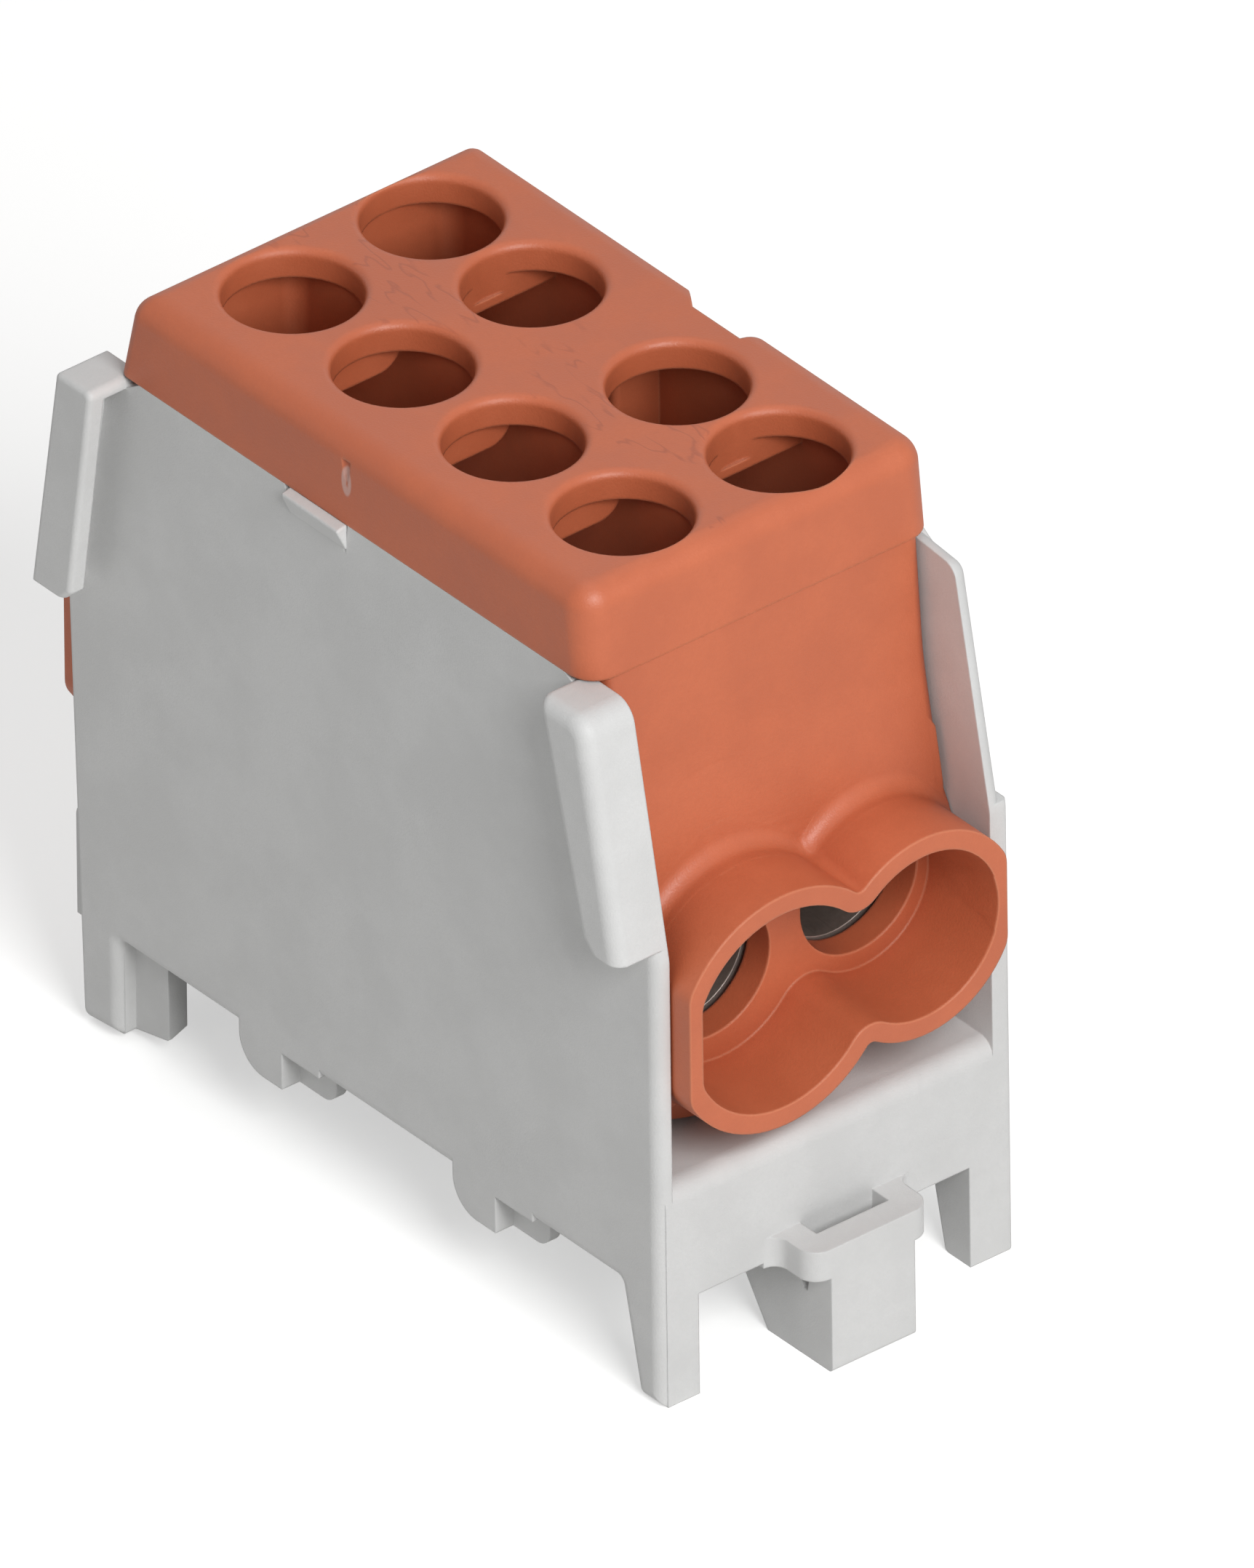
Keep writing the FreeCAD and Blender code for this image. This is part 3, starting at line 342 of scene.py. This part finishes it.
def moulded_plastic(name, tones, grain_size, roughness, edge_radius):
    """Injection-moulded plastic: eroded grain, faint flow, a painted highlight that lightens the
    edges, a few rubbed smudges.

    The result is (material, node tree, shader, colour).
    """
    colour, dark, smudge, edge = tones
    material, tree, shader = new_material(name)
    place = object_place(tree)
    grain = noise(tree, place, grain_size, 3.0, 0.6)
    cloud = noise(tree, place, CLOUD_SIZE, 4.0, 0.6)
    speck = noise(tree, place, 2 * grain_size)
    rubbed = noise(tree, object_place(tree, RUB_STRETCH), RUB_SIZE, 4.0, 0.65)
    patch = noise(tree, place, PATCH_SIZE, 1.0)
    base = blend_colour(tree, remap(tree, cloud, 0.35, 0.65), dark, colour)
    specks = remap(tree, speck, 0.3, 0.72, 0.0, SPECK_AMOUNT)
    specked = blend_colour(tree, specks, base, dark)
    rubbed_patch = remap(tree, patch, 0.52, 0.64, 0.0, RUB_AMOUNT)
    marks = multiply(tree, remap(tree, rubbed, 0.66, 0.82), rubbed_patch)
    marked = blend_colour(tree, marks, specked, smudge)
    # Painted highlight: the colour turns paler near edges, where the eased normal departs from the
    # true one
    highlighted = blend_colour(tree, edge_amount(tree, edge_radius, EDGE_HIGHLIGHT_AMOUNT), marked, edge)
    tree.links.new(highlighted, shader.inputs["Base Color"])
    dull = remap(tree, cloud, 0.3, 0.7, roughness, roughness + ROUGHNESS_SPREAD)
    tree.links.new(dull, shader.inputs["Roughness"])
    shader.inputs["IOR"].default_value = PLASTIC_IOR
    surface_relief(tree, shader, [(grain, GRAIN_DEPTH), (patch, PATCH_DEPTH)], edge_radius)
    return material, tree, shader, highlighted


def hood_plastic():
    """Orange plastic with flow wrinkles on top, the gate's pale scar and painted shade that darkens
    its hollows.
    """
    tones = (ORANGE, ORANGE_DARK, ORANGE_SMUDGE, ORANGE_EDGE_HIGHLIGHT)
    material, tree, shader, highlighted = moulded_plastic(
        "orange_moulded", tones, ORANGE_GRAIN, ORANGE_ROUGHNESS, ORANGE_EDGE_RADIUS)
    flow = wrinkles(tree, object_place(tree, WRINKLE_STRETCH), WRINKLE_SIZE, WRINKLE_WIDTH)
    lines = multiply(tree, multiply(tree, flow, top_strip(tree)), WRINKLE_AMOUNT)
    lined = blend_colour(tree, lines, highlighted, ORANGE_WRINKLE)
    streak = noise(tree, object_place(tree, STREAK_STRETCH), STREAK_SIZE)
    scar = near_point(tree, GATE_SCAR, GATE_SCAR_REACH)
    scar = multiply(tree, scar, remap(tree, streak, 0.25, 0.42))
    scarred = blend_colour(tree, scar, lined, ORANGE_SCAR)
    # Painted shade: ambient occlusion darkens the colour in hollows, funnels and holes
    open_air = add_node(
        tree, "ShaderNodeAmbientOcclusion", {"Distance": PAINTED_SHADE_REACH * MM}, samples=EDGE_SAMPLES)
    painted_shade = remap(tree, open_air.outputs["AO"], 0.75, 0.1, 0.0, PAINTED_SHADE_AMOUNT)
    tree.links.new(blend_colour(tree, painted_shade, scarred, ORANGE_PAINTED_SHADE), shader.inputs["Base Color"])
    return material


def drawn_metal(name, colour, dark, along, roughness):
    """Plated metal with fine tool lines along one axis."""
    material, tree, shader = new_material(name)
    stretch = [1.0, 1.0, 1.0]
    stretch[along] = TOOL_LINE_STRETCH
    lines = noise(tree, object_place(tree, stretch), TOOL_LINE_SIZE, 4.0, 0.7)
    tarnish = noise(tree, object_place(tree), TARNISH_SIZE, 4.0, 0.6)
    base = blend_colour(tree, remap(tree, tarnish, 0.4, 0.7), colour, dark)
    lined = blend_colour(tree, remap(tree, lines, 0.5, 0.8, 0.0, 0.5), base, dark)
    tree.links.new(lined, shader.inputs["Base Color"])
    dull = remap(tree, tarnish, 0.3, 0.7, roughness, roughness + METAL_ROUGHNESS_SPREAD)
    tree.links.new(dull, shader.inputs["Roughness"])
    shader.inputs["Metallic"].default_value = 1.0
    surface_relief(tree, shader, [(lines, TOOL_LINE_DEPTH)], METAL_EDGE_RADIUS)
    return material


def dress(node, material):
    """Gives a CAD node its material in every slot."""
    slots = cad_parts[node].data.materials
    if not slots:
        slots.append(material)
    for k in range(len(slots)):
        slots[k] = material


def dress_nodes():
    """Materials of all the CAD nodes. Returns the grey and the orange plastic."""
    tones = (GREY, GREY_DARK, GREY_SMUDGE, GREY_EDGE_HIGHLIGHT)
    grey = moulded_plastic("grey_moulded", tones, GREY_GRAIN, GREY_ROUGHNESS, GREY_EDGE_RADIUS)[0]
    orange = hood_plastic()
    tin = drawn_metal("tinned_bar", TIN, TIN_DARK, 1, TIN_ROUGHNESS)
    zinc = drawn_metal("zinc_screw", ZINC, ZINC_DARK, 2, ZINC_ROUGHNESS)
    dress("base_housing", grey)
    dress("hood", orange)
    dress("terminal_block", tin)
    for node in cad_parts:
        if node.startswith("clamp_screw"):
            dress(node, zinc)
    return grey, orange


def last_inside(inside, outside, halvings, within):
    """Last number on the inner side of a limit that lies between two numbers."""
    for _ in range(halvings):
        middle = (inside + outside) / 2
        if within(middle):
            inside = middle
        else:
            outside = middle
    return inside


def end_wall(z, knee):
    """How far the hood's end wall stands from the middle at height z."""
    lean = math.atan((WALL_FOOT - knee) / (KNEE_Z - WALL_TURN_Z))
    rise = z - WALL_TURN_Z + WALL_TURN_ROUND * math.tan(lean / 2)
    if rise <= 0:
        return WALL_FOOT
    if rise < WALL_TURN_ROUND * math.sin(lean):
        return WALL_FOOT - WALL_TURN_ROUND + math.sqrt(WALL_TURN_ROUND ** 2 - rise ** 2)
    return WALL_FOOT - math.tan(lean) * (z - WALL_TURN_Z)


def lobes_distance(x, z, waist):
    """Signed distance to the funnel's outside, whose upper waist is an arc of the given radius."""
    (xa, za, ra), (xb, zb, rb) = LOBES
    length = math.hypot(xb - xa, zb - za)
    along = ((ra + waist) ** 2 - (rb + waist) ** 2 + length ** 2) / (2 * length)
    rise = math.sqrt((ra + waist) ** 2 - along ** 2)
    ux, uz = (xb - xa) / length, (zb - za) / length
    cx = xa + ux * along - uz * rise
    cz = za + uz * along + ux * rise
    past_a = (xa - cx) * (z - cz) - (za - cz) * (x - cx) > 0
    past_b = (xb - cx) * (z - cz) - (zb - cz) * (x - cx) < 0
    if past_a and past_b:
        return waist - math.hypot(x - cx, z - cz)
    return min(math.hypot(x - xa, z - za) - ra, math.hypot(x - xb, z - zb) - rb)


def blend_distance(x, y, z, knee):
    """Signed distance to the funnel's outside and end wall, softly joined, y counted outwards."""
    share = min(1.0, max(0.0, (RIM - y) / (RIM - WALL_FOOT)))
    waist = WAIST_AT_RIM + (WAIST_AT_WALL - WAIST_AT_RIM) * share * share * (3 - 2 * share)
    a = y - end_wall(z, knee)
    b = lobes_distance(x, z, waist)
    away = math.hypot(max(BLEND_ROUND - a, 0.0), max(BLEND_ROUND - b, 0.0))
    return max(BLEND_ROUND, min(a, b)) - away


def blend_column(x, knee, near, far):
    """Two lines of points up a slice of the blend, off its surface by near and far along rays."""
    root = last_inside(BLEND_LOW, BLEND_HIGH, ROOT_HALVINGS,
                       lambda z: lobes_distance(x, z, WAIST_AT_RIM) < 0)
    wall = end_wall(root, knee)
    span = RIM - BLEND_RIM_GAP - wall
    route = [(wall + span * (1 - k / FUNNEL_ROWS), root) for k in range(FUNNEL_ROWS + 1)]
    for k in range(1, WALL_ROWS + 1):
        z = root + BLEND_CLIMB * k / WALL_ROWS
        route.append((end_wall(z, knee), z))
    y0, z0 = wall - RAY_SETBACK, root - RAY_SETBACK
    lines = ([], [])
    for y1, z1 in route:
        dy, dz = y1 - y0, z1 - z0
        surface = last_inside(*RAY_SPAN, RAY_HALVINGS,
                              lambda s: blend_distance(x, y0 + dy * s, z0 + dz * s, knee) < 0)
        for line, off in zip(lines, (near, far)):
            share = surface + off / math.hypot(dy, dz)
            line.append((y0 + dy * share, z0 + dz * share))
    return lines


def as_object(name, work):
    """Object made of a bmesh, its normals turned outwards."""
    bmesh.ops.recalc_face_normals(work, faces=work.faces)
    mesh = bpy.data.meshes.new(name)
    work.to_mesh(mesh)
    work.free()
    piece = bpy.data.objects.new(name, mesh)
    bpy.context.scene.collection.objects.link(piece)
    return piece


def between_rings(name, rings):
    """Closed mesh between two rings with the same number of points in mm."""
    work = bmesh.new()
    first, second = [[work.verts.new([v * MM for v in p]) for p in ring] for ring in rings]
    count = len(first)
    for k in range(count):
        n = (k + 1) % count
        work.faces.new((first[k], first[n], second[n], second[k]))
    work.faces.new(first[::-1])
    work.faces.new(second)
    return as_object(name, work)


def between_grids(name, grids):
    """Closed mesh between two layers of the same grid of points in mm."""
    columns = len(grids[0])
    rows = len(grids[0][0])
    work = bmesh.new()
    near, far = [
        [[work.verts.new([v * MM for v in p]) for p in column] for column in grid] for grid in grids]
    for i in range(columns - 1):
        for j in range(rows - 1):
            work.faces.new((near[i][j], near[i + 1][j], near[i + 1][j + 1], near[i][j + 1]))
            work.faces.new((far[i][j], far[i][j + 1], far[i + 1][j + 1], far[i + 1][j]))
    border = [(i, 0) for i in range(columns)]
    border += [(columns - 1, j) for j in range(1, rows)]
    border += [(i, rows - 1) for i in range(columns - 2, -1, -1)]
    border += [(0, j) for j in range(rows - 2, 0, -1)]
    for (i, j), (m, n) in zip(border, border[1:] + border[:1]):
        work.faces.new((near[i][j], far[i][j], far[m][n], near[m][n]))
    return as_object(name, work)


def blend_tool(side, knee, reach, near, far):
    """Solid along the blend of one funnel, between two distances off its surface."""
    grids = ([], [])
    for k in range(BLEND_COLUMNS):
        x = -reach + 2 * reach * k / (BLEND_COLUMNS - 1)
        for grid, line in zip(grids, blend_column(x, knee, near, far)):
            grid.append([(CENTRE[0] + x, CENTRE[1] + side * y, z) for y, z in line])
    return between_grids("blend_tool", grids)


def lobe_tool(side):
    """Tapering round hollow of the right lobe, which is a full circle."""
    x, z, outside = LOBES[1]
    radius = outside - (FUNNEL_WALL + CLEAR)
    rings = []
    for y, r in ((RIM + 0.5, radius), (FUNNEL_FLOOR + CLEAR, radius - FUNNEL_DRAFT)):
        angles = [2 * math.pi * k / LOBE_SIDES for k in range(LOBE_SIDES)]
        rings.append([
            (CENTRE[0] + x + r * math.cos(a), CENTRE[1] + side * y, z + r * math.sin(a))
            for a in angles])
    return between_rings("lobe_tool", rings)


def work_with(piece, tool, operation):
    """Joins a tool to a piece or cuts it away, and removes the tool."""
    step = piece.modifiers.new("step", "BOOLEAN")
    step.operation = operation
    step.solver = "EXACT"
    step.object = tool
    bpy.context.view_layer.update()
    evaluated = piece.evaluated_get(bpy.context.evaluated_depsgraph_get())
    shaped = bpy.data.meshes.new_from_object(evaluated)
    piece.modifiers.clear()
    piece.data = shaped
    bpy.data.objects.remove(tool)


def drop_normals(mesh):
    """Removes the kept corner normals, which no longer fit a mesh that was worked on."""
    if "custom_normal" in mesh.attributes:
        mesh.attributes.remove(mesh.attributes["custom_normal"])


def hood_shell(material):
    """The hood with its funnels' roots softly blended and the right lobes fully round."""
    work = bmesh.new()
    work.from_mesh(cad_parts["hood"].data)
    bmesh.ops.remove_doubles(work, verts=work.verts, dist=0.0005 * MM)
    piece = as_object("hood_shell", work)
    drop_normals(piece.data)
    for side, knee in ((-1, KNEE_FRONT), (1, KNEE_REAR)):
        work_with(piece, blend_tool(side, knee, CUT_REACH, CLEAR, CUT_DEPTH), "DIFFERENCE")
        work_with(piece, blend_tool(side, knee, FILL_REACH, -FILL_DEPTH, -CLEAR), "UNION")
        work_with(piece, lobe_tool(side), "DIFFERENCE")
    mesh = piece.data
    mesh.materials.clear()
    mesh.materials.append(material)
    drop_normals(mesh)
    mesh.polygons.foreach_set("use_smooth", [True] * len(mesh.polygons))
    mesh.set_sharp_from_angle(angle=math.radians(SHARP_ANGLE))
    flats = piece.modifiers.new("flats", "WEIGHTED_NORMAL")
    flats.weight = 100
    flats.keep_sharp = True
    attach(piece, "block")
    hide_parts("hood")


def prising_lip(material):
    """Small wedge under the hood's left edge, for the tip of a screwdriver."""
    low = LIP_TOP - LIP_FALL
    section = [
        (LIP_ROOT, LIP_TOP),
        (0.0, LIP_TOP),
        (-LIP_PROUD, LIP_TOP - LIP_EDGE[0]),
        (-LIP_PROUD, LIP_TOP - LIP_EDGE[1]),
        (LIP_FOOT[0], low),
        (LIP_FOOT[1], low),
    ]
    ends = ((LIP_FRONT, 1.0), (LIP_REAR, LIP_REAR_SHARE))
    rings = [[(WALL_X + x * share, y, z) for x, z in section] for y, share in ends]
    piece = between_rings("prising_lip", rings)
    piece.data.materials.append(material)
    eased = piece.modifiers.new("eased", "BEVEL")
    eased.width = LIP_ROUND * MM
    eased.segments = 3
    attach(piece, "block")


def make_floor(height):
    """Plain pale floor that keeps the object's shadow."""
    half = FLOOR_SIZE / 2
    mesh = bpy.data.meshes.new("floor")
    corners = [(x * half, y * half, height) for x, y in ((-1, -1), (1, -1), (1, 1), (-1, 1))]
    mesh.from_pydata(corners, [], [(0, 1, 2, 3)])
    floor = bpy.data.objects.new("floor", mesh)
    bpy.context.scene.collection.objects.link(floor)
    material, tree, shader = new_material("floor_paper")
    cloud = noise(tree, object_place(tree), FLOOR_CLOUD_SIZE)
    tone = remap(tree, cloud, 0.3, 0.7, 0.0, FLOOR_CLOUD_AMOUNT)
    paper = blend_colour(tree, tone, FLOOR_COLOUR, FLOOR_CLOUD)
    tree.links.new(paper, shader.inputs["Base Color"])
    shader.inputs["Roughness"].default_value = FLOOR_ROUGHNESS
    seen = add_node(tree, "ShaderNodeLightPath").outputs["Is Camera Ray"]
    glow = multiply(tree, seen, FLOOR_GLOW)
    shader.inputs["Emission Color"].default_value = (1.0, 1.0, 1.0, 1.0)
    tree.links.new(glow, shader.inputs["Emission Strength"])
    mesh.materials.append(material)


def area_light(name, watts, size, place, target):
    """Square lamp that faces a target."""
    data = bpy.data.lights.new(name, "AREA")
    data.energy = watts
    data.size = size
    lamp = bpy.data.objects.new(name, data)
    bpy.context.scene.collection.objects.link(lamp)
    lamp.location = place
    lamp.rotation_mode = "QUATERNION"
    lamp.rotation_quaternion = (target - place).to_track_quat("-Z", "Y")


def make_light(middle):
    """Soft key from the front, a little to the left, a weaker lamp overhead, an even surround."""
    area_light("key", KEY_WATTS, KEY_SIZE, middle + Vector(KEY_PLACE), middle)
    area_light("overhead", TOP_WATTS, TOP_SIZE, middle + Vector(TOP_PLACE), middle)
    world = bpy.data.worlds.new("studio")
    bpy.context.scene.world = world
    world.use_nodes = True
    tree = world.node_tree
    rays = add_node(tree, "ShaderNodeLightPath").outputs
    seen = rays["Is Camera Ray"]
    for ray in ("Is Glossy Ray", "Is Transmission Ray"):
        seen = calculate(tree, "MAXIMUM", seen, rays[ray])
    strength = add_node(
        tree, "ShaderNodeMapRange", {"Value": seen, "To Min": WORLD_STRENGTH, "To Max": 1.0})
    background = tree.nodes["Background"]
    background.inputs["Color"].default_value = (1.0, 1.0, 1.0, 1.0)
    tree.links.new(strength.outputs["Result"], background.inputs["Strength"])


def make_camera():
    """Parallel camera that looks the way the photograph does."""
    azimuth = math.radians(CAMERA_AZIMUTH)
    elevation = math.radians(CAMERA_ELEVATION)
    back = Vector((
        math.sin(azimuth) * math.cos(elevation),
        -math.cos(azimuth) * math.cos(elevation),
        math.sin(elevation),
    ))
    level = Vector((math.cos(azimuth), math.sin(azimuth), 0.0))
    right = Matrix.Rotation(math.radians(CAMERA_ROLL), 3, back) @ level
    up = back.cross(right)
    shift_right = (IMAGE_WIDTH / 2 - ORIGIN_PIXEL[0]) / PIXELS_PER_MM * MM
    shift_up = (ORIGIN_PIXEL[1] - IMAGE_HEIGHT / 2) / PIXELS_PER_MM * MM
    place = right * shift_right + up * shift_up + back * CAMERA_DISTANCE
    data = bpy.data.cameras.new("camera")
    data.type = "ORTHO"
    data.ortho_scale = IMAGE_HEIGHT / PIXELS_PER_MM * MM
    data.clip_start, data.clip_end = CAMERA_CLIP
    camera = bpy.data.objects.new("camera", data)
    bpy.context.scene.collection.objects.link(camera)
    turn = Matrix((right, up, back)).transposed()
    camera.matrix_world = Matrix.Translation(place) @ turn.to_4x4()
    bpy.context.scene.camera = camera


bpy.context.scene.view_settings.view_transform = "Standard"
grey_plastic, orange_plastic = dress_nodes()
hood_shell(orange_plastic)
prising_lip(grey_plastic)
make_floor(cad_low.z)
make_light((cad_low + cad_high) / 2)
make_camera()
